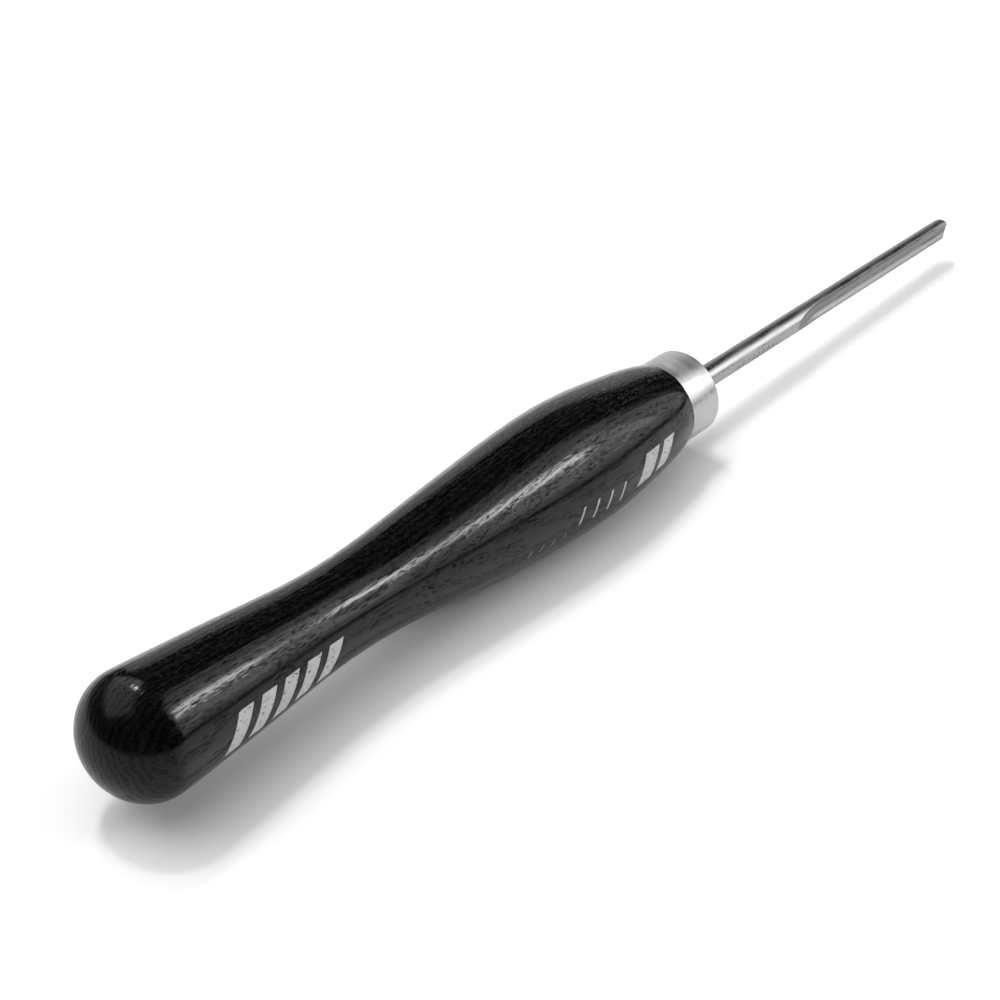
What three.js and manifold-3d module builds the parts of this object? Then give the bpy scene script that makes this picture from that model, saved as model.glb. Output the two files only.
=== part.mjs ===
// A small woodturning gouge: a lacquered turned handle, a ferrule, and a fluted round bar
// that is glued into the handle.
// Millimetres, +Z up. The tool lies along +X with its nose forward, and its flute faces -Y.
// The origin is halfway along the tool, at the level of the belly's underside.

import * as THREE from 'three';
import { mergeVertices } from 'three/addons/utils/BufferGeometryUtils.js';
import Module from 'manifold-3d';

const wasm = await Module();
wasm.setup();

// Driving dimensions
const HANDLE_LENGTH = 203.2;
const FERRULE_LENGTH = 12.7;
const BLADE_LENGTH = 153;
const TOTAL_LENGTH = HANDLE_LENGTH + FERRULE_LENGTH + BLADE_LENGTH;
const GAP = 0.3;

// Handle: radii at distances behind the shoulder that the ferrule stands against
const SHOULDER_RADIUS = 12.95;
const BELLY_RADIUS = 18.05;
const WAIST_RADIUS = 11.55;
const BUTT_RADIUS = 15.7;
const DOME_DEPTH = 13.9;
const BARREL_OUTLINE = [
  [0, SHOULDER_RADIUS],
  [6, 14.4],
  [14, 15.8],
  [26, 17.1],
  [42, BELLY_RADIUS],
  [60, 17.1],
  [82, 15.2],
  [104, 13.05],
  [127, WAIST_RADIUS],
  [150, 12.75],
  [170, 14.45],
  [HANDLE_LENGTH - DOME_DEPTH, BUTT_RADIUS],
];

// Ferrule: a plain tube on the handle's spigot
const FERRULE_RADIUS = 12.5;
const FERRULE_WALL = 1.5;
const FERRULE_EDGE = 0.3;
const SPIGOT_RADIUS = FERRULE_RADIUS - FERRULE_WALL - GAP;
const SPIGOT_RECESS = 0.8;
const SPIGOT_CHAMFER = 0.6;

// Blade: a round bar, and the length of it that is glued into the handle
const BAR_RADIUS = 3.35;
const BAR_CHAMFER = 0.5;
const GLUED_LENGTH = 60;
const GLUE_THICKNESS = 0.7;
const BORE_RADIUS = BAR_RADIUS + GAP + GLUE_THICKNESS + GAP;
const DRILL_POINT_DEPTH = 2.7;

// Flute: a round-bottomed groove that ends in the curve of the wheel that milled it
const FLUTE_RADIUS = 3.4;
const FLUTE_FLOOR = 0.15;
const FLUTE_LENGTH = 82;
const WHEEL_RADIUS = 32;
const CUTTER_OVERRUN = 4;
const NOSE_LENGTH = 5;
const NOSE_FULLNESS = [0.9, 1.55];
const NOSE_STEPS = 12;

// Facets
const HANDLE_SIDES = 48;
const BARREL_STEPS = 24;
const DOME_STEPS = 9;
const BAR_SIDES = 48;
const FLUTE_SIDES = 40;
const WHEEL_SIDES = 144;

// Places along the tool
const BUTT_X = -TOTAL_LENGTH / 2;
const SHOULDER_X = BUTT_X + HANDLE_LENGTH;
const FERRULE_FRONT_X = SHOULDER_X + FERRULE_LENGTH;
const NOSE_X = FERRULE_FRONT_X + BLADE_LENGTH;
const BAR_END_X = FERRULE_FRONT_X - GLUED_LENGTH;

const lacqueredWood = new THREE.MeshStandardMaterial({ color: 0x0c0c0d, roughness: 0.25, metalness: 0 });
const ferruleMetal = new THREE.MeshStandardMaterial({ color: 0xc4c4c2, roughness: 0.3, metalness: 1 });
const toolSteel = new THREE.MeshStandardMaterial({ color: 0xa9abad, roughness: 0.32, metalness: 1 });
const curedEpoxy = new THREE.MeshStandardMaterial({ color: 0xcdbd8c, roughness: 0.35, metalness: 0 });

// Turns an outline of [place along the tool, radius] points about the X axis, flats at the underside.
function turned(outline, sides) {
  const points = outline.map(([x, radius]) => new THREE.Vector2(radius, x));
  const geometry = new THREE.LatheGeometry(points, sides, Math.PI / sides);
  geometry.rotateZ(-Math.PI / 2);
  geometry.rotateX(Math.PI / 2);
  return geometry;
}

// Copies a closed three.js geometry into a manifold solid.
function toSolid(geometry) {
  const bare = geometry.clone();
  bare.deleteAttribute('normal');
  bare.deleteAttribute('uv');
  const merged = mergeVertices(bare, 1e-5);
  return new wasm.Manifold(new wasm.Mesh({
    numProp: 3,
    vertProperties: new Float32Array(merged.attributes.position.array),
    triVerts: new Uint32Array(merged.index.array),
  }));
}

// Copies a manifold solid back into a three.js geometry.
function toGeometry(solid) {
  const mesh = solid.getMesh();
  const geometry = new THREE.BufferGeometry();
  geometry.setAttribute('position', new THREE.BufferAttribute(mesh.vertProperties, 3));
  geometry.setIndex(new THREE.BufferAttribute(mesh.triVerts, 1));
  geometry.computeVertexNormals();
  return geometry;
}

function named(name, geometry, material) {
  const mesh = new THREE.Mesh(geometry, material);
  mesh.name = name;
  return mesh;
}

// The dome on the butt, from its tip forward to the barrel.
function domeOutline() {
  const outline = [];
  for (let i = 0; i < DOME_STEPS; i += 1) {
    const angle = (i / DOME_STEPS) * Math.PI / 2;
    const x = BUTT_X + DOME_DEPTH * (1 - Math.cos(angle));
    outline.push([x, BUTT_RADIUS * Math.sin(angle)]);
  }
  return outline;
}

// The barrel, from the dome forward to the shoulder.
function barrelOutline() {
  const points = BARREL_OUTLINE.map(([back, radius]) => new THREE.Vector2(SHOULDER_X - back, radius));
  const curve = new THREE.SplineCurve(points.reverse());
  return curve.getSpacedPoints(BARREL_STEPS).map((point) => [point.x, point.y]);
}

// The spigot that the ferrule is pressed on to, and the blind hole that the bar is glued into.
function spigotAndBoreOutline() {
  const front = FERRULE_FRONT_X - SPIGOT_RECESS;
  const boreEnd = BAR_END_X - GAP - GLUE_THICKNESS - GAP;
  return [
    [SHOULDER_X, SPIGOT_RADIUS],
    [front - SPIGOT_CHAMFER, SPIGOT_RADIUS],
    [front, SPIGOT_RADIUS - SPIGOT_CHAMFER],
    [front, BORE_RADIUS],
    [boreEnd, BORE_RADIUS],
    [boreEnd - DRILL_POINT_DEPTH, 0],
  ];
}

function handle() {
  const outline = [...domeOutline(), ...barrelOutline(), ...spigotAndBoreOutline()];
  return named('handle', turned(outline, HANDLE_SIDES), lacqueredWood);
}

function ferrule() {
  const rear = SHOULDER_X + GAP;
  const inner = FERRULE_RADIUS - FERRULE_WALL;
  const outline = [
    [rear, inner],
    [rear, FERRULE_RADIUS - FERRULE_EDGE],
    [rear + FERRULE_EDGE, FERRULE_RADIUS],
    [FERRULE_FRONT_X - FERRULE_EDGE, FERRULE_RADIUS],
    [FERRULE_FRONT_X, FERRULE_RADIUS - FERRULE_EDGE],
    [FERRULE_FRONT_X, inner],
    [rear, inner],
  ];
  return named('ferrule', turned(outline, HANDLE_SIDES), ferruleMetal);
}

// A cup of glue, all round the hidden end of the bar and behind it.
function epoxyBed() {
  const inner = BAR_RADIUS + GAP;
  const outer = inner + GLUE_THICKNESS;
  const front = FERRULE_FRONT_X - SPIGOT_RECESS - GAP;
  const floor = BAR_END_X - GAP;
  const outline = [
    [floor - GLUE_THICKNESS, 0],
    [floor - GLUE_THICKNESS, outer],
    [front, outer],
    [front, inner],
    [floor, inner],
    [floor, 0],
  ];
  return named('epoxy_bed', turned(outline, BAR_SIDES), curedEpoxy);
}

// The round bar with its nose ground to a swept-back, rounded point.
function groundBar() {
  const nose = new THREE.QuadraticBezierCurve(
    new THREE.Vector2(NOSE_X - NOSE_LENGTH, BAR_RADIUS),
    new THREE.Vector2(NOSE_X - NOSE_FULLNESS[0], NOSE_FULLNESS[1]),
    new THREE.Vector2(NOSE_X, 0),
  );
  const outline = [
    [BAR_END_X, 0],
    [BAR_END_X, BAR_RADIUS - BAR_CHAMFER],
    [BAR_END_X + BAR_CHAMFER, BAR_RADIUS],
    ...nose.getPoints(NOSE_STEPS).map((point) => [point.x, point.y]),
  ];
  return turned(outline, BAR_SIDES);
}

// The straight part of the groove, run on past the nose.
function straightGroove(centreY) {
  const length = FLUTE_LENGTH + CUTTER_OVERRUN;
  const geometry = new THREE.CylinderGeometry(FLUTE_RADIUS, FLUTE_RADIUS, length, FLUTE_SIDES);
  geometry.rotateZ(-Math.PI / 2);
  geometry.translate(NOSE_X - FLUTE_LENGTH + length / 2, centreY, 0);
  return geometry;
}

// The round-edged milling wheel, where it stands when the groove ends.
function millingWheel(centreY) {
  const rim = new THREE.EllipseCurve(WHEEL_RADIUS, 0, FLUTE_RADIUS, FLUTE_RADIUS, -Math.PI / 2, Math.PI / 2);
  const outline = [
    new THREE.Vector2(0, -FLUTE_RADIUS),
    ...rim.getPoints(FLUTE_SIDES / 2),
    new THREE.Vector2(0, FLUTE_RADIUS),
  ];
  const geometry = new THREE.LatheGeometry(outline, WHEEL_SIDES);
  geometry.rotateX(Math.PI / 2);
  geometry.translate(NOSE_X - FLUTE_LENGTH, centreY - WHEEL_RADIUS, 0);
  return geometry;
}

function gougeBlade() {
  const grooveY = FLUTE_FLOOR - FLUTE_RADIUS;
  const cutter = toSolid(straightGroove(grooveY)).add(toSolid(millingWheel(grooveY)));
  const solid = toSolid(groundBar()).subtract(cutter);
  return named('gouge_blade', toGeometry(solid), toolSteel);
}

// The axis's height when the belly's underside is at the origin's level.
function axisHeight() {
  const widest = Math.max(...barrelOutline().map(([, radius]) => radius));
  return widest * Math.cos(Math.PI / HANDLE_SIDES);
}

const gouge = new THREE.Group();
gouge.add(handle(), ferrule(), epoxyBed(), gougeBlade());
gouge.position.z = axisHeight();

export default gouge;
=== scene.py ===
import math

import bmesh
import bpy
import numpy as np
from mathutils import Matrix, Vector


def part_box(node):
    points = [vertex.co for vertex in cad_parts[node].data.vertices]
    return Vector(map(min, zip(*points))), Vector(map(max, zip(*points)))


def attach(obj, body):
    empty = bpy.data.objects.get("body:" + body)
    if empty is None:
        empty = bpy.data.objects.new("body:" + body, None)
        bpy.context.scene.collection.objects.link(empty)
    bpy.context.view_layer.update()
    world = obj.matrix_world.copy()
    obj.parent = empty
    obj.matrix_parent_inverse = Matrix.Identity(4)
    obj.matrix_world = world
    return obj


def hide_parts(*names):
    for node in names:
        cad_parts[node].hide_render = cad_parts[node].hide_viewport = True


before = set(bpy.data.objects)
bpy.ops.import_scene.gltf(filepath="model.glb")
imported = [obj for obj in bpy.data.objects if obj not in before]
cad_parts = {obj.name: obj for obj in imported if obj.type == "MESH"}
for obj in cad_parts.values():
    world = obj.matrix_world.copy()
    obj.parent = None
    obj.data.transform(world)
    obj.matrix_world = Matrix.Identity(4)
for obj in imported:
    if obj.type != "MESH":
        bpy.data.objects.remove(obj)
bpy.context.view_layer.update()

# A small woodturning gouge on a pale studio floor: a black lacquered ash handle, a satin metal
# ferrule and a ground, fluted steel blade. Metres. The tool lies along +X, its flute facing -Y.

MM = 0.001
SAME = 0.01 * MM             # places and radii closer than this count as one
EASE_STEPS = 5               # points in a rounded corner

# Places along the tool, from the CAD nodes and the blade's length
BLADE_LENGTH = 153 * MM      # how far the blade stands out of the ferrule
AXIS_Z = sum(corner.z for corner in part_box("ferrule")) / 2
BUTT_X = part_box("handle")[0].x
FERRULE_REAR_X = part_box("ferrule")[0].x
FERRULE_FRONT_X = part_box("ferrule")[1].x
BAR_END_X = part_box("gouge_blade")[0].x
NOSE_X = FERRULE_FRONT_X + BLADE_LENGTH

# Handle
DOME_DEPTH = 13.9 * MM
BORE_RADIUS = 4.65 * MM
BORE_OVERRUN = 1.3 * MM      # how far the hole is drilled behind the bar's end
BORE_EASE = 0.15 * MM
SPIGOT_RADIUS = 10.95 * MM
SPIGOT_RECESS = 0.8 * MM
SPIGOT_EASE = 0.5 * MM
SHOULDER_EASE = 0.35 * MM
SHOULDER_GAP = 0.02 * MM
BARREL_ORDER = 11            # order of the curve through the CAD's rings
RING_SPACING = 0.6 * MM
HANDLE_SIDES = 160
DOME_RINGS = 40
INSET = 0.004 * MM           # keeps the smooth barrel's box inside the CAD's

# Ferrule
FERRULE_RADIUS = 12.5 * MM
FERRULE_BORE = 11.0 * MM
FERRULE_LINING = 3 * MM      # how much of the tube's inside is modelled at each end
FERRULE_EASE = 0.22 * MM
FERRULE_SIDES = 192

# Blade
BAR_RADIUS = 3.35 * MM
FLUTE_RADIUS = 3.4 * MM
FLUTE_FLOOR = 0.15 * MM
FLUTE_LENGTH = 82 * MM
WHEEL_RADIUS = 32 * MM
RUN_OUT = 16 * MM            # reaches a little past the end of the wheel's run-out
NOSE_LENGTH = 5 * MM
NOSE_FULLNESS = (0.9 * MM, 1.55 * MM)
EDGE_BREAK = 0.07 * MM
SMALLEST_LIP = math.radians(3)
BACK_POINTS = 84
FLUTE_POINTS = 40
BAR_SPACING = 2.5 * MM
FLUTE_SPACING = 2 * MM
RUN_OUT_STATIONS = 64
NOSE_STATIONS = 44
NOSE_STARTS = (0.012, 0.04)  # the first two shares of the way along the nose's curve
SPARE = 1 * MM               # left free between one run of stations and the next
FINISH_STEP = 0.06 * MM      # from the last full section to the ground nose
TIP = 0.03 * MM              # the nose ends when this little is left above the flute's floor
HALVINGS = 40

# The blade's finishes, in the order of its materials. Each: how closely its grinding lines are
# packed along x, y and z (per metre), grey level, roughness and the lines' height.
STEEL = {
    "ground_bar": ((4200, 260, 260), 0.35, 0.34, 0.006 * MM),
    # the flute's grey level, below the bar's, is painted shade inside the groove; its milled lines
    # are real
    "milled_flute_painted_shade": ((160, 3200, 3200), 0.21, 0.32, 0.006 * MM),
    "ground_nose": ((2600, 2600, 300), 0.36, 0.30, 0.010 * MM),
}
BAR_FINISH, FLUTE_FINISH_AND_SHADE, NOSE_FINISH = range(len(STEEL))

# How the tool lies: balanced on its belly, nose down, on a floor that is level in the studio
NOSE_DOWN = math.radians(1.6)
FLOOR_UP = Vector((-math.sin(NOSE_DOWN), 0, math.cos(NOSE_DOWN)))

# Camera, at the photo's angle
CAMERA_PLACE = Vector((-0.37764, -0.26628, 0.29197))
CAMERA_RIGHT = Vector((0.64118, -0.76707, 0.02239))
CAMERA_UP = Vector((0.40310, 0.36149, 0.84073))
CAMERA_LENS = 70.45
SENSOR_WIDTH = 36.0


# ---------------------------------------------------------------- meshes

def link(name, mesh):
    """Puts a mesh in the scene as a smooth-shaded object."""
    mesh.shade_smooth()
    piece = bpy.data.objects.new(name, mesh)
    bpy.context.scene.collection.objects.link(piece)
    return piece


def mesh_of(name, vertices, faces):
    """A mesh whose faces all look outward."""
    mesh = bpy.data.meshes.new(name)
    mesh.from_pydata([tuple(v) for v in vertices], [], faces)
    shape = bmesh.new()
    shape.from_mesh(mesh)
    bmesh.ops.recalc_face_normals(shape, faces=shape.faces)
    shape.to_mesh(mesh)
    shape.free()
    return mesh


def lathe(name, outline, sides, closed=False):
    """Turns [(x, radius)] about the tool's axis. A radius of zero becomes one point."""
    vertices, rings = [], []
    angles = [2 * math.pi * (i + 0.5) / sides for i in range(sides)]
    for x, radius in outline:
        if radius < SAME:
            rings.append([len(vertices)])
            vertices.append((x, 0, AXIS_Z))
            continue
        rings.append(range(len(vertices), len(vertices) + sides))
        vertices += [(x, radius * math.sin(a), AXIS_Z - radius * math.cos(a)) for a in angles]
    faces = []
    pairs = list(zip(rings, rings[1:]))
    if closed:
        pairs.append((rings[-1], rings[0]))
    for near, far in pairs:
        for i in range(sides):
            j = (i + 1) % sides
            if len(near) == 1:
                faces.append((near[0], far[i], far[j]))
            elif len(far) == 1:
                faces.append((near[i], far[0], near[j]))
            else:
                faces.append((near[i], far[i], far[j], near[j]))
    return mesh_of(name, vertices, faces)


def between(t, start, middle, end):
    """The point at t along the curve that leaves start and reaches end, pulled by middle."""
    return (1 - t) ** 2 * start + 2 * t * (1 - t) * middle + t * t * end


def eased(outline, sizes):
    """Rounds the outline's corners: sizes gives each point's corner, 0 to leave it alone."""
    rounded = []
    last = len(outline) - 1
    for i, (point, size) in enumerate(zip(outline, sizes)):
        if size <= 0 or i in (0, last):
            rounded.append(point)
            continue
        corner = np.array(point)
        before = np.array(outline[i - 1]) - corner
        after = np.array(outline[i + 1]) - corner
        start = corner + before / np.linalg.norm(before) * size
        end = corner + after / np.linalg.norm(after) * size
        for t in np.linspace(0, 1, EASE_STEPS):
            rounded.append(tuple(between(t, start, corner, end)))
    return rounded


# ---------------------------------------------------------------- handle

def cad_rings():
    """[(x, outer radius)] of the CAD handle's rings, from the butt forward, without its bore."""
    rings = {}
    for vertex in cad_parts["handle"].data.vertices:
        x, y, z = vertex.co
        radius = math.hypot(y, z - AXIS_Z)
        key = round(x, 6)
        rings[key] = max(rings.get(key, 0), radius)
    return [(x, r) for x, r in sorted(rings.items()) if r > BORE_RADIUS + SAME]


def barrel_outline():
    """The barrel between the dome and the shoulder, as one smooth curve through the CAD's rings."""
    dome_end = BUTT_X + DOME_DEPTH
    shoulder = max(x for x, r in cad_rings() if r > FERRULE_RADIUS)
    rings = [(x, r) for x, r in cad_rings() if dome_end - SAME < x < shoulder + SAME]
    curve = np.polynomial.Chebyshev.fit(*zip(*rings), BARREL_ORDER)
    steps = round((shoulder - dome_end) / RING_SPACING)
    return [(x, float(curve(x)) - INSET) for x in np.linspace(dome_end, shoulder, steps + 1)]


def handle_outline():
    """The dome, the barrel, the spigot and the blind hole, as [(x, radius)]."""
    barrel = barrel_outline()
    butt_radius = barrel[0][1]
    dome = []
    for angle in np.linspace(0, math.pi / 2, DOME_RINGS, endpoint=False):
        dome.append((BUTT_X + DOME_DEPTH * (1 - math.cos(angle)), butt_radius * math.sin(angle)))
    shoulder_radius = barrel[-1][1]
    face = FERRULE_REAR_X - SHOULDER_GAP
    front = FERRULE_FRONT_X - SPIGOT_RECESS
    bore_end = BAR_END_X - BORE_OVERRUN
    barrel = [point for point in barrel if point[0] < face - 2 * SHOULDER_EASE]
    neck = [
        barrel[-1],
        (face, shoulder_radius),
        (face, SPIGOT_RADIUS),
        (front, SPIGOT_RADIUS),
        (front, BORE_RADIUS),
        (bore_end, BORE_RADIUS),
    ]
    neck = eased(neck, [0, SHOULDER_EASE, 0, SPIGOT_EASE, BORE_EASE, 0])
    return dome + barrel + neck[1:] + [(bore_end, 0)]


def make_handle():
    """The handle with its spigot and its blind hole, turned as one piece."""
    return link("turned_handle", lathe("turned_handle", handle_outline(), HANDLE_SIDES))


# ---------------------------------------------------------------- ferrule

def make_ferrule():
    """A plain tube with eased edges."""
    ease = FERRULE_EASE
    outline = [
        (FERRULE_REAR_X + FERRULE_LINING, FERRULE_BORE),
        (FERRULE_REAR_X, FERRULE_BORE),
        (FERRULE_REAR_X, FERRULE_RADIUS),
        (FERRULE_FRONT_X, FERRULE_RADIUS),
        (FERRULE_FRONT_X, FERRULE_BORE),
        (FERRULE_FRONT_X - FERRULE_LINING, FERRULE_BORE),
    ]
    outline = eased(outline, [0, ease, 1.5 * ease, 1.5 * ease, ease, 0])
    return link("brushed_ferrule", lathe("brushed_ferrule", outline, FERRULE_SIDES, closed=True))


# ---------------------------------------------------------------- blade

def flute_wall(z, run_out):
    """The groove wall's y at height z off the axis, run_out behind the groove's full depth."""
    centre = FLUTE_FLOOR - FLUTE_RADIUS - WHEEL_RADIUS
    reach = WHEEL_RADIUS + math.sqrt(max(FLUTE_RADIUS ** 2 - z * z, 0))
    return centre + math.sqrt(max(reach * reach - run_out * run_out, 0))


def full_lip(radius):
    """(y, z) where the groove's wall, at its full depth, comes out of a bar of that radius."""
    reach = FLUTE_FLOOR * (FLUTE_FLOOR - 2 * FLUTE_RADIUS) + radius ** 2
    y = -reach / (2 * (FLUTE_RADIUS - FLUTE_FLOOR))
    return y, math.sqrt(max(radius * radius - y * y, 0))


def lip_height(radius, run_out):
    """Half the groove's width where it cuts a bar of that radius, or 0 where it misses the bar."""
    def cuts(z):
        return flute_wall(z, run_out) > -math.sqrt(max(radius * radius - z * z, 0))

    if not cuts(0):
        return 0.0
    low, high = 0.0, radius
    if cuts(high):
        return full_lip(radius)[1]
    for _ in range(HALVINGS):
        middle = (low + high) / 2
        low, high = (middle, high) if cuts(middle) else (low, middle)
    return low


def lip_angle(radius, run_out):
    """The lip's angle round the bar from the flute's mouth, and its height off the axis."""
    if run_out > 0:
        angle = max(math.asin(min(lip_height(radius, run_out) / radius, 1)), SMALLEST_LIP)
        return angle, radius * math.sin(angle)
    y, z = full_lip(radius)
    return math.atan2(z, -y), z


def lip_edge(before, lip, after):
    """Three points that ease a lip's edge."""
    before, lip, after = (np.array(point) for point in (before, lip, after))
    return [tuple(between(t, before, lip, after)) for t in (0.25, 0.5, 0.75)]


def blade_section(radius, run_out):
    """A closed loop of (y, z) round the bar: its back, a lip, the flute, and the other lip."""
    angle, height = lip_angle(radius, run_out)
    ease = min(EDGE_BREAK, 0.2 * radius, 0.3 * height)
    start, end = angle + ease / radius, 2 * math.pi - angle - ease / radius
    turns = np.linspace(start, end, BACK_POINTS)
    back = [(-radius * math.cos(a), radius * math.sin(a)) for a in turns]
    flute = []
    for z in np.linspace(-(height - ease), height - ease, FLUTE_POINTS):
        bar = -math.sqrt(max(radius * radius - z * z, 0))
        flute.append((max(flute_wall(z, run_out), bar), z))
    lip_y = -radius * math.cos(angle)
    lower = lip_edge(back[-1], (lip_y, -height), flute[0])
    upper = lip_edge(flute[-1], (lip_y, height), back[0])
    return back + lower + flute + upper


def blade_stations():
    """[(x, radius, run-out)] along the bar, close together where its shape changes."""
    full = NOSE_X - FLUTE_LENGTH
    ground = NOSE_X - NOSE_LENGTH
    places = list(np.arange(BAR_END_X, full - RUN_OUT - SPARE, BAR_SPACING))
    places += list(np.linspace(full - RUN_OUT, full, RUN_OUT_STATIONS))
    places += list(np.arange(full + SPARE, ground - SPARE, FLUTE_SPACING))
    stations = [(x, BAR_RADIUS, max(full - x, 0)) for x in places]
    stations.append((ground - FINISH_STEP, BAR_RADIUS, 0))
    begin, end = np.array((ground, BAR_RADIUS)), np.array((NOSE_X, 0))
    middle = np.array((NOSE_X - NOSE_FULLNESS[0], NOSE_FULLNESS[1]))
    first, second = NOSE_STARTS
    for t in [first, *np.linspace(second, 1, NOSE_STATIONS)]:
        x, radius = between(t, begin, middle, end)
        if radius > FLUTE_FLOOR + TIP:
            stations.append((x, radius, 0))
    return stations


def finish_of(point, station):
    """How the face at that point round the section is finished, at that station."""
    x, radius, run_out = station
    first = BACK_POINTS + 1
    in_flute = first <= point < first + 2 + FLUTE_POINTS
    if in_flute and (run_out == 0 or lip_height(radius, run_out) > 0):
        # the flute's steel is darker: painted shade inside the groove
        return FLUTE_FINISH_AND_SHADE
    return NOSE_FINISH if x > NOSE_X - NOSE_LENGTH - SAME else BAR_FINISH


def make_blade():
    """The bar, its flute and its ground nose, with a material index for each finish."""
    stations = blade_stations()
    vertices, faces, finishes = [], [], []
    for x, radius, run_out in stations:
        vertices += [(x, y, AXIS_Z + z) for y, z in blade_section(radius, run_out)]
    loop = len(vertices) // len(stations)
    for ring, station in enumerate(stations[:-1]):
        near, far = ring * loop, (ring + 1) * loop
        for i in range(loop):
            j = (i + 1) % loop
            faces.append((near + i, near + j, far + j, far + i))
            finishes.append(finish_of(i, station))
    last = len(vertices) - loop
    faces += [tuple(range(loop)), tuple(range(last, len(vertices)))]
    finishes += [BAR_FINISH, NOSE_FINISH]
    mesh = mesh_of("fluted_blade", vertices, faces)
    mesh.polygons.foreach_set("material_index", finishes)
    return link("fluted_blade", mesh)


# ---------------------------------------------------------------- material helpers

class Nodes:
    """A material's node tree, with short ways to add nodes and wire them up."""

    def __init__(self, name):
        self.material = bpy.data.materials.new(name)
        self.material.use_nodes = True
        self.tree = self.material.node_tree
        self.shader = self.tree.nodes["Principled BSDF"]

    def wire(self, socket, value):
        """Links a value that comes from a node to the socket, and sets any other value on it."""
        if isinstance(value, bpy.types.NodeSocket):
            self.tree.links.new(value, socket)
        else:
            socket.default_value = value

    def add(self, kind, inputs=None, output=0, **settings):
        """A new node with its inputs wired and its settings made. Gives back one of its outputs."""
        node = self.tree.nodes.new(kind)
        for key, value in settings.items():
            setattr(node, key, value)
        for key, value in (inputs or {}).items():
            self.wire(node.inputs[key], value)
        return node.outputs[output]

    def shade(self, **inputs):
        """Wires the shader's own inputs, with _ for each space in a name."""
        for key, value in inputs.items():
            self.wire(self.shader.inputs[key.replace("_", " ")], value)

    def maths(self, operation, first, second=0.0):
        return self.add("ShaderNodeMath", {0: first, 1: second}, operation=operation)

    def place(self):
        return self.add("ShaderNodeTexCoord", output="Object")

    def split(self, vector):
        node = self.tree.nodes.new("ShaderNodeSeparateXYZ")
        self.wire(node.inputs[0], vector)
        return node.outputs

    def join(self, x, y, z):
        return self.add("ShaderNodeCombineXYZ", {0: x, 1: y, 2: z})

    def scaled(self, vector, scale, turn=(0, 0, 0), move=(0, 0, 0)):
        """The place for a pattern. scale: how many of its cells fit in a metre along each axis."""
        inputs = {0: vector, "Location": move, "Rotation": turn, "Scale": scale}
        return self.add("ShaderNodeMapping", inputs)

    def noise(self, vector, scale=1.0, detail=3.0, roughness=0.5):
        """Soft noise from about 0 to 1. Where the vector is scaled first, scale stays at 1."""
        inputs = {"Vector": vector, "Scale": scale, "Detail": detail, "Roughness": roughness}
        return self.add("ShaderNodeTexNoise", inputs)

    def cells(self, vector, scale=1.0):
        """How far a place is from the middle of its cell."""
        inputs = {"Vector": vector, "Scale": scale}
        return self.add("ShaderNodeTexVoronoi", inputs, output="Distance")

    def span(self, value, low, high, to_low=0.0, to_high=1.0):
        """Carries low..high smoothly over to to_low..to_high."""
        inputs = {0: value, 1: low, 2: high, 3: to_low, 4: to_high}
        return self.add("ShaderNodeMapRange", inputs, interpolation_type="SMOOTHSTEP")

    def ramp(self, value, stops):
        """Greys between stops, each a (position, level)."""
        node = self.tree.nodes.new("ShaderNodeValToRGB")
        self.wire(node.inputs[0], value)
        elements = node.color_ramp.elements
        while len(elements) < len(stops):
            elements.new(0.5)
        for element, (position, level) in zip(elements, stops):
            element.position = position
            element.color = (level, level, level, 1)
        return node.outputs[0]

    def mix(self, share, first, second):
        inputs = {0: share, 6: first, 7: second}
        return self.add("ShaderNodeMix", inputs, output=2, data_type="RGBA")

    def bump(self, height, distance, normal=None):
        """A surface raised by distance where height is 1, on top of the normal if there is one."""
        inputs = {"Height": height, "Distance": distance, "Strength": 1.0}
        if normal is not None:
            inputs["Normal"] = normal
        return self.add("ShaderNodeBump", inputs)


def grey(level, warmth=0.0):
    """A grey, a little red where warmth is above 0 and a little blue where it is below."""
    return (level * (1 + warmth), level, level * (1 - warmth), 1.0)


# ---------------------------------------------------------------- printed and etched marks

# Rows of slanted bars round the tool. Each row: from x to x (mm), lowest and highest place round
# the tool (degrees above -Y), spacing of the bars (mm), the bars' share of it, slant (mm along
# for each degree round), and how solid the bars are.
PRINT_ROWS = (
    (-157.0, -119.0, -22, 16, 7.7, 0.62, -0.13, 1.0),
    (-11.5, 3.5, -12, 15, 9.5, 0.72, -0.16, 1.0),
    (-37.0, -15.0, -13, 4, 5.6, 0.14, -0.10, 0.9),
    (-54.0, -40.0, -22, -14, 4.2, 0.12, -0.10, 0.4),
)
ETCHED_ROW = (54.5, 77.5, -28, 6, 2.6, 0.50, -0.03, 1.0)
EDGE_ALONG = 0.06            # mm over which a bar's edge fades
EDGE_ROUND = 0.25            # the same in degrees, at the row's two sides
PRINT_LEVEL = 0.45           # grey of the silver ink
PRINT_ROUGHNESS = 0.25       # added to the lacquer's
PRINT_HEIGHT = 0.012 * MM


def round_the_tool(nodes):
    """How far along the tool a place is (mm), and how far round it is (degrees above -Y)."""
    x, y, z = nodes.split(nodes.place())
    height = nodes.maths("SUBTRACT", z, AXIS_Z)
    angle = nodes.maths("ARCTAN2", height, nodes.maths("MULTIPLY", y, -1.0))
    return nodes.maths("DIVIDE", x, MM), nodes.maths("MULTIPLY", angle, 180 / math.pi)


def within(nodes, value, low, high, fade):
    """1 between low and high, fading to 0 at both."""
    above = nodes.span(value, low - fade, low + fade)
    below = nodes.span(value, high - fade, high + fade, 1.0, 0.0)
    return nodes.maths("MULTIPLY", above, below)


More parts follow.
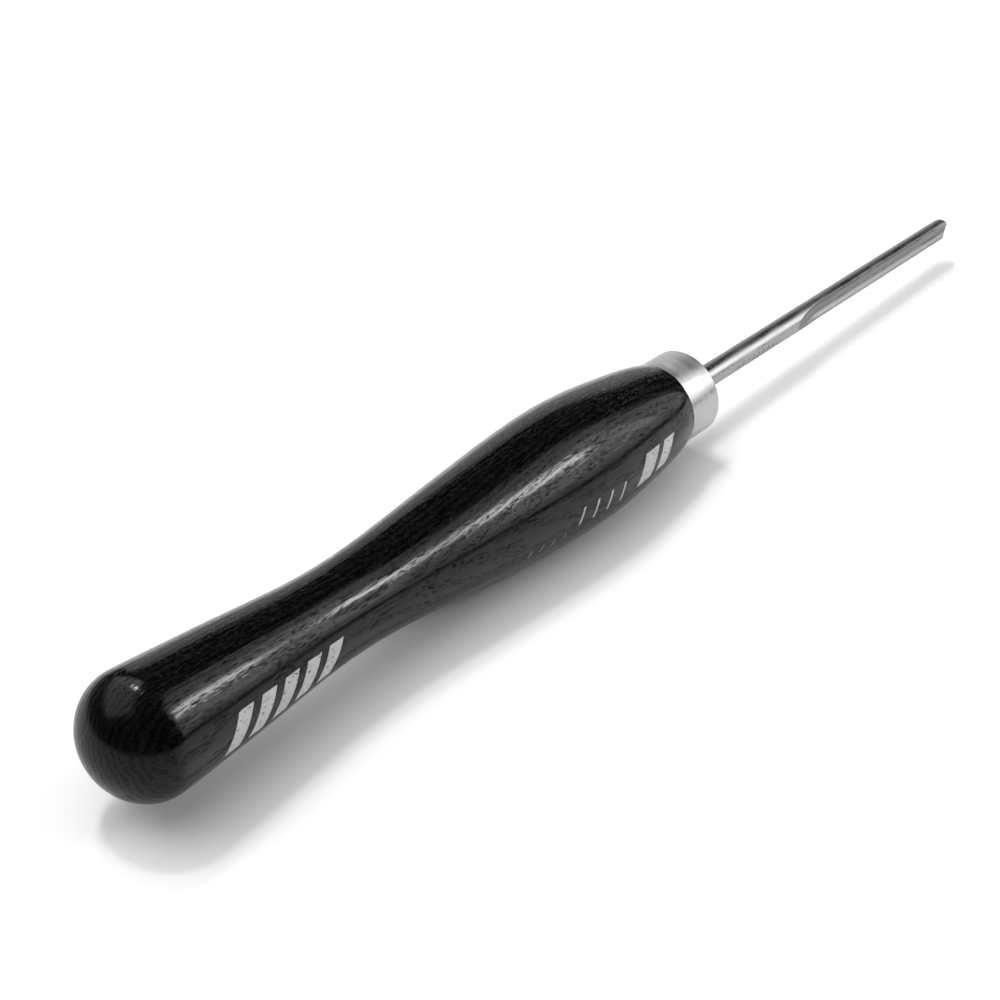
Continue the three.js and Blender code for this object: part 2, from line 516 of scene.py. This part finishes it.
def row_of_bars(nodes, x, angle, row):
    """How solid the row's bars are at x along the tool and angle round it."""
    start, end, low, high, spacing, share, slant, solid = row
    along = nodes.maths("ADD", x, nodes.maths("MULTIPLY", angle, slant))
    count = nodes.maths("DIVIDE", nodes.maths("SUBTRACT", along, start), spacing)
    cell = nodes.maths("FRACT", count)
    soft = EDGE_ALONG / spacing
    front, rear = nodes.span(cell, 0.0, soft), nodes.span(cell, share, share + soft, 1.0, 0.0)
    bar = nodes.maths("MULTIPLY", front, rear)
    bar = nodes.maths("MULTIPLY", bar, within(nodes, along, start, end, EDGE_ALONG))
    bar = nodes.maths("MULTIPLY", bar, within(nodes, angle, low, high, EDGE_ROUND))
    return nodes.maths("MULTIPLY", bar, solid)


def prints(nodes):
    """How much silver print there is at a place, rubbed off in specks, and the same unrubbed."""
    x, angle = round_the_tool(nodes)
    ink = 0.0
    for row in PRINT_ROWS:
        ink = nodes.maths("MAXIMUM", ink, row_of_bars(nodes, x, angle, row))
    rubbed = nodes.noise(nodes.scaled(nodes.place(), (700, 2600, 2600)), detail=3.0)
    return nodes.maths("MULTIPLY", ink, nodes.span(rubbed, 0.30, 0.42)), ink


def etching(nodes):
    """A faint row of etched ticks low on the blade's shank."""
    rubbed = nodes.noise(nodes.scaled(nodes.place(), (900, 900, 900)), detail=2.0)
    ticks = row_of_bars(nodes, *round_the_tool(nodes), ETCHED_ROW)
    return nodes.maths("MULTIPLY", ticks, nodes.span(rubbed, 0.35, 0.6))


# ---------------------------------------------------------------- lacquered ash

PITH = (0.0, 46 * MM, -34 * MM)
GRAIN_TILT = (0.0, math.radians(0.9), math.radians(-1.3))
GROWTH_RING = 1.6 * MM
RING_SWAY = 4.0              # how many rings the growth wanders by
EARLY_SHARE = ((0.0, 1.0), (0.40, 0.9), (0.55, 0.10), (0.93, 0.0), (1.0, 1.0))   # through a ring
FINE_PORE = (3.2 * MM, 0.25 * MM)        # length and spacing
LONG_PORE = (9.0 * MM, 0.36 * MM)
PORE_DEPTH = 0.06 * MM
SWELL_HEIGHT = 0.03 * MM
LATE_WOOD = grey(0.0009, -0.04)
EARLY_WOOD = grey(0.0022, 0.05)
PORE_BOTTOM = grey(0.0006)
LACQUER_IOR = 1.40
LACQUER_SHINE = 0.43         # specular level on the flat
PORE_SHINE = 0.04
END_GRAIN_SHINE = 0.65       # share of it that is left on the dome
LACQUER_ROUGHNESS = (0.07, 0.12)         # from clear to cloudy
DOME_EDGE = BUTT_X + DOME_DEPTH
DOME_BLEND = (5 * MM, 0.5 * MM)          # the end grain fades out from before to after the edge


def growth(nodes, wood):
    """0 to 1 through each year's ring: the porous early wood first, then the dense late wood."""
    _, y, z = nodes.split(wood)
    sway = nodes.noise(nodes.scaled(wood, (14, 130, 130)), detail=3.0)
    square = nodes.maths("ADD", nodes.maths("MULTIPLY", y, y), nodes.maths("MULTIPLY", z, z))
    years = nodes.maths("DIVIDE", nodes.maths("SQRT", square), GROWTH_RING)
    return nodes.maths("FRACT", nodes.maths("ADD", years, nodes.maths("MULTIPLY", sway, RING_SWAY)))


def pores(nodes, wood, size, width):
    """1 inside open pores of that length and spacing, width being their share of the spacing."""
    length, spacing = size
    cells = nodes.scaled(wood, (1 / length, 1 / spacing, 1 / spacing))
    wobble = nodes.noise(nodes.scaled(wood, (400, 2600, 2600)), detail=1.0)
    distance = nodes.maths("ADD", nodes.cells(cells), nodes.maths("MULTIPLY", wobble, 0.12))
    return nodes.span(nodes.maths("SUBTRACT", width, distance), 0.0, 0.07)


def all_pores(nodes, wood, early):
    """Fine and long pores together, both wider in the early wood."""
    fine = pores(nodes, wood, FINE_PORE, nodes.span(early, 0.0, 1.0, 0.32, 0.48))
    long = pores(nodes, wood, LONG_PORE, nodes.span(early, 0.0, 1.0, 0.10, 0.36))
    return nodes.maths("MAXIMUM", nodes.maths("MULTIPLY", fine, 0.8), long)


def on_the_dome(nodes):
    """1 on the dome, where the cut shows end grain, and 0 along the barrel."""
    x = nodes.split(nodes.place())[0]
    before, after = DOME_BLEND
    return nodes.span(x, DOME_EDGE - before, DOME_EDGE + after, 1.0, 0.0)


def roughness_of(nodes, cloud, shares):
    """The lacquer's roughness: cloudy, plus each pattern by its share."""
    rough = nodes.span(cloud, 0.3, 0.75, *LACQUER_ROUGHNESS)
    for pattern, share in shares:
        rough = nodes.maths("ADD", rough, nodes.maths("MULTIPLY", pattern, share))
    return rough


def relief(nodes, wood, early, cloud, pore, print_film):
    """The lacquer's slow rise and fall over the rings, its fibres and sunken pores, the print."""
    swell = nodes.maths("MULTIPLY", early, -0.35)
    swell = nodes.maths("ADD", swell, nodes.maths("MULTIPLY", cloud, 0.8))
    surface = nodes.bump(swell, SWELL_HEIGHT)
    fibres = nodes.noise(nodes.scaled(wood, (160, 3600, 3600)), detail=3.0, roughness=0.6)
    sunk = nodes.maths("SUBTRACT", nodes.maths("MULTIPLY", fibres, 0.22), pore)
    surface = nodes.bump(sunk, PORE_DEPTH, normal=surface)
    return nodes.bump(print_film, PRINT_HEIGHT, normal=surface)


def lacquered_ash():
    """Open-pored ash under black lacquer, with silver bars printed on it."""
    nodes = Nodes("lacquered_ash")
    wood = nodes.scaled(nodes.place(), (1, 1, 1), turn=GRAIN_TILT, move=PITH)
    ring = growth(nodes, wood)
    early = nodes.ramp(ring, EARLY_SHARE)
    cloud = nodes.noise(nodes.scaled(wood, (25, 90, 90)), detail=3.0)
    pore = all_pores(nodes, wood, early)
    end_grain = on_the_dome(nodes)
    ink, print_film = prints(nodes)

    base = nodes.mix(nodes.maths("MULTIPLY", early, cloud), LATE_WOOD, EARLY_WOOD)
    base = nodes.mix(pore, base, PORE_BOTTOM)
    base = nodes.mix(ink, base, grey(PRINT_LEVEL))
    shares = ((early, 0.03), (pore, 0.06), (end_grain, 0.07), (ink, PRINT_ROUGHNESS))
    rough = roughness_of(nodes, cloud, shares)
    shine = nodes.span(pore, 0.0, 1.0, LACQUER_SHINE, PORE_SHINE)
    left = nodes.span(end_grain, 0.0, 1.0, 1.0, END_GRAIN_SHINE)
    surface = relief(nodes, wood, early, cloud, pore, print_film)
    nodes.shade(Base_Color=base, Roughness=rough, Normal=surface, IOR=LACQUER_IOR)
    nodes.shade(Specular_IOR_Level=nodes.maths("MULTIPLY", shine, left))
    return nodes.material


# ---------------------------------------------------------------- metals

FERRULE_GREYS = (0.43, 0.50)
FERRULE_SPECKS = grey(0.33)
FERRULE_ROUGHNESS = (0.15, 0.46)
FERRULE_METAL = 0.75         # below 1 for the light that a satin finish scatters
TURNING_HEIGHT = 0.006 * MM


def brushed_ferrule():
    """Satin metal with fine turning lines right round it."""
    nodes = Nodes("turned_satin_metal")
    place = nodes.place()
    x = nodes.split(place)[0]
    lines = nodes.noise(nodes.join(nodes.maths("MULTIPLY", x, 9000), 0.0, 0.0), detail=2.0)
    coarse = nodes.noise(nodes.join(nodes.maths("MULTIPLY", x, 1500), 3.0, 0.0), detail=2.0)
    patch = nodes.noise(nodes.scaled(place, (260, 110, 110)), detail=4.0)
    specks = nodes.noise(nodes.scaled(place, (5000, 1400, 1400)), detail=2.0)

    dark, light = FERRULE_GREYS
    colour = nodes.mix(nodes.span(patch, 0.3, 0.7), grey(dark, 0.012), grey(light, 0.008))
    speckled = nodes.maths("MULTIPLY", nodes.span(specks, 0.35, 0.65), 0.25)
    colour = nodes.mix(speckled, colour, FERRULE_SPECKS)
    uneven = nodes.maths("ADD", nodes.maths("MULTIPLY", lines, 0.5), patch)
    rough = nodes.span(uneven, 0.4, 1.1, *FERRULE_ROUGHNESS)
    height = nodes.maths("MULTIPLY", lines, patch)
    height = nodes.maths("ADD", height, nodes.maths("MULTIPLY", coarse, 0.6))
    height = nodes.maths("ADD", height, nodes.maths("MULTIPLY", specks, 0.25))
    nodes.shade(Base_Color=colour, Roughness=rough, Metallic=FERRULE_METAL)
    nodes.shade(Normal=nodes.bump(height, TURNING_HEIGHT))
    nodes.shade(Anisotropic=0.6, Anisotropic_Rotation=0.25)
    nodes.shade(Tangent=nodes.add("ShaderNodeTangent", direction_type="RADIAL", axis="X"))
    return nodes.material


def ground_steel(name, line_scale, level, rough, depth):
    """Tool steel with grinding lines, close together where line_scale is large."""
    nodes = Nodes(name)
    place = nodes.place()
    lines = nodes.noise(nodes.scaled(place, line_scale), detail=3.0, roughness=0.65)
    wider = tuple(scale * 0.21 for scale in line_scale)
    streaks = nodes.noise(nodes.scaled(place, wider), detail=2.0)
    patch = nodes.noise(nodes.scaled(place, (90, 240, 240)), detail=4.0)
    stain = nodes.noise(nodes.scaled(place, (30, 60, 60)), detail=5.0, roughness=0.6)

    dull, clean = grey(level * 0.90, 0.004), grey(level, -0.006)
    colour = nodes.mix(nodes.span(patch, 0.3, 0.7), dull, clean)
    colour = nodes.mix(nodes.span(stain, 0.5, 0.8, 0.0, 0.35), colour, grey(level * 0.72, 0.03))
    if name == "ground_bar":
        colour = nodes.mix(etching(nodes), colour, grey(level * 0.35))
    uneven = nodes.maths("MULTIPLY", nodes.maths("ADD", lines, patch), 0.6)
    height = nodes.maths("ADD", lines, nodes.maths("MULTIPLY", streaks, 0.7))
    nodes.shade(Base_Color=colour, Metallic=1.0)
    nodes.shade(Roughness=nodes.span(uneven, 0.35, 0.85, rough * 0.55, rough * 1.5))
    nodes.shade(Normal=nodes.bump(height, depth))
    return nodes.material


# ---------------------------------------------------------------- glue and floor

AMBER = (0.42, 0.31, 0.12, 1)
PALE_AMBER = (0.62, 0.52, 0.27, 1)
BUBBLE = (0.8, 0.72, 0.5, 1)


def cured_epoxy():
    """Set glue: amber, with small bubbles and a soft gloss."""
    nodes = Nodes("cured_epoxy")
    place = nodes.place()
    bubbles = nodes.span(nodes.cells(place, scale=2600), 0.12, 0.22, 1.0, 0.0)
    cloud = nodes.noise(place, scale=900, detail=3.0)
    colour = nodes.mix(cloud, AMBER, PALE_AMBER)
    colour = nodes.mix(nodes.maths("MULTIPLY", bubbles, 0.4), colour, BUBBLE)
    height = nodes.maths("SUBTRACT", cloud, bubbles)
    nodes.shade(Base_Color=colour, Roughness=nodes.span(cloud, 0.3, 0.7, 0.22, 0.4))
    nodes.shade(Normal=nodes.bump(height, 0.05 * MM))
    return nodes.material


def floor_paper():
    """Pale, matt studio floor."""
    nodes = Nodes("studio_floor")
    place = nodes.place()
    tooth = nodes.noise(place, scale=700, detail=3.0)
    cloud = nodes.noise(place, scale=2.0, detail=2.0)
    colour = nodes.mix(cloud, grey(FLOOR_LEVEL * 0.985), grey(FLOOR_LEVEL))
    nodes.shade(Base_Color=colour, Roughness=nodes.span(tooth, 0.3, 0.7, 0.82, 0.92))
    nodes.shade(Specular_IOR_Level=0.1, Normal=nodes.bump(tooth, 0.02 * MM))
    return nodes.material


# ---------------------------------------------------------------- studio

FLOOR_LEVEL = 0.70
FLOOR_SIZE = 1.8
SURROUNDINGS = 0.02          # what the tool mirrors past the lights and the floor
BACKDROP = 1.0               # what the camera sees there
WATTS = 4                    # per square metre of a light, for a brightness of 1

# Softboxes aimed at the tool. Each: azimuth and elevation of the middle (degrees, azimuth 0 = +X,
# 90 = +Y), distance, width and height (metres), and how bright the surface is.
SOFTBOXES = {
    "key_softbox": (112, 54, 2.2, 3.0, 1.9, 1.4),
    "overhead_fill": (150, 76, 2.0, 2.6, 2.6, 1.45),
    "overhead_spot": (96, 73.5, 2.5, 0.26, 0.26, 54.0),
    "small_bulb": (72, 66, 2.5, 0.20, 0.20, 60.0),
}
ROUND = ("overhead_spot", "small_bulb")
HIDDEN_IN_GLOSS = ("overhead_fill", "overhead_spot")     # they light, but nothing mirrors them

# Upright panels. Each: azimuth from and to, elevation from and to (degrees), how far off it
# stands (metres), and how bright its surface is.
PANELS = {
    "side_panel": (-66, -11, 5, 57, 1.50, 1.15),
    "side_panel_core": (-61, -25, 14, 46, 1.45, 1.2),
    "side_strip": (-58, -40, 32, 41, 1.40, 12.0),
    "far_wall": (24, 62, 1, 25, 2.40, 0.55),
}


def towards(azimuth, elevation):
    """A direction in the level studio, in the tool's own axes."""
    azimuth, elevation = math.radians(azimuth), math.radians(elevation)
    reach = math.cos(elevation)
    level = (reach * math.cos(azimuth), reach * math.sin(azimuth), math.sin(elevation))
    return Matrix.Rotation(-NOSE_DOWN, 3, "Y") @ Vector(level)


def add_light(name, place, facing, width, height, brightness):
    """An area light at place, with its back towards facing. The camera doesn't see it."""
    data = bpy.data.lights.new(name, "AREA")
    data.shape = "ELLIPSE" if name in ROUND else "RECTANGLE"
    data.size, data.size_y = width, height
    data.energy = WATTS * width * height * brightness
    light = bpy.data.objects.new(name, data)
    bpy.context.scene.collection.objects.link(light)
    light.location = place
    light.rotation_euler = facing.to_track_quat("Z", "Y").to_euler()
    light.visible_camera = False
    light.visible_glossy = name not in HIDDEN_IN_GLOSS


def add_softbox(name, azimuth, elevation, distance, width, height, brightness):
    """A light that looks straight at the tool."""
    aim = towards(azimuth, elevation)
    add_light(name, aim * distance, aim, width, height, brightness)


def add_panel(name, left, right, bottom, top, distance, brightness):
    """A panel that stands upright, with level top and bottom edges."""
    out = towards((left + right) / 2, 0)
    low, high = (distance * math.tan(math.radians(edge)) for edge in (bottom, top))
    width = 2 * distance * math.tan(math.radians(abs(right - left) / 2))
    place = out * distance + FLOOR_UP * (low + high) / 2
    add_light(name, place, out, width, high - low, brightness)


def add_surroundings():
    """A dark studio, which the camera sees as a white backdrop."""
    world = bpy.data.worlds.new("studio")
    world.use_nodes = True
    bpy.context.scene.world = world
    tree = world.node_tree
    path = tree.nodes.new("ShaderNodeLightPath")
    dark = tree.nodes["Background"]
    dark.inputs["Color"].default_value = grey(SURROUNDINGS)
    pale = tree.nodes.new("ShaderNodeBackground")
    pale.inputs["Color"].default_value = grey(BACKDROP)
    chosen = tree.nodes.new("ShaderNodeMixShader")
    tree.links.new(path.outputs["Is Camera Ray"], chosen.inputs[0])
    tree.links.new(dark.outputs[0], chosen.inputs[1])
    tree.links.new(pale.outputs[0], chosen.inputs[2])
    tree.links.new(chosen.outputs[0], tree.nodes["World Output"].inputs["Surface"])


def add_floor(pieces):
    """A level floor that just touches the tool's belly."""
    height = min(FLOOR_UP.dot(v.co) for piece in pieces for v in piece.data.vertices)
    centre = FLOOR_UP * height
    forward = Vector((math.cos(NOSE_DOWN), 0, math.sin(NOSE_DOWN))) * FLOOR_SIZE / 2
    side = Vector((0, FLOOR_SIZE / 2, 0))
    signs = ((-1, -1), (1, -1), (1, 1), (-1, 1))
    corners = [tuple(centre + forward * a + side * b) for a, b in signs]
    mesh = bpy.data.meshes.new("floor")
    mesh.from_pydata(corners, [], [(0, 1, 2, 3)])
    floor = bpy.data.objects.new("floor", mesh)
    bpy.context.scene.collection.objects.link(floor)
    mesh.materials.append(floor_paper())


def add_camera():
    """The photo's view, found by fitting a camera to the tool's outline."""
    data = bpy.data.cameras.new("camera")
    data.lens, data.sensor_width = CAMERA_LENS, SENSOR_WIDTH
    data.clip_start, data.clip_end = 0.01, 100
    camera = bpy.data.objects.new("camera", data)
    bpy.context.scene.collection.objects.link(camera)
    back = CAMERA_RIGHT.cross(CAMERA_UP).normalized()
    turn = Matrix((CAMERA_RIGHT, CAMERA_UP, back)).transposed().to_4x4()
    camera.matrix_world = Matrix.Translation(CAMERA_PLACE) @ turn
    bpy.context.scene.camera = camera


# ---------------------------------------------------------------- build

def finish_piece(piece, node, materials):
    """Gives a piece its materials, and ties it to the CAD node whose place it takes."""
    for material in materials:
        piece.data.materials.append(material)
    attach(piece, "root")
    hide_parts(node)


def main():
    add_camera()
    handle, ferrule, blade = make_handle(), make_ferrule(), make_blade()
    finish_piece(handle, "handle", [lacquered_ash()])
    finish_piece(ferrule, "ferrule", [brushed_ferrule()])
    steels = [ground_steel(name, *facts) for name, facts in STEEL.items()]
    finish_piece(blade, "gouge_blade", steels)
    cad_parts["epoxy_bed"].data.materials.clear()
    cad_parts["epoxy_bed"].data.materials.append(cured_epoxy())
    add_floor([handle, ferrule, blade])
    for name, facts in SOFTBOXES.items():
        add_softbox(name, *facts)
    for name, facts in PANELS.items():
        add_panel(name, *facts)
    add_surroundings()
    bpy.context.scene.view_settings.view_transform = "Standard"


main()
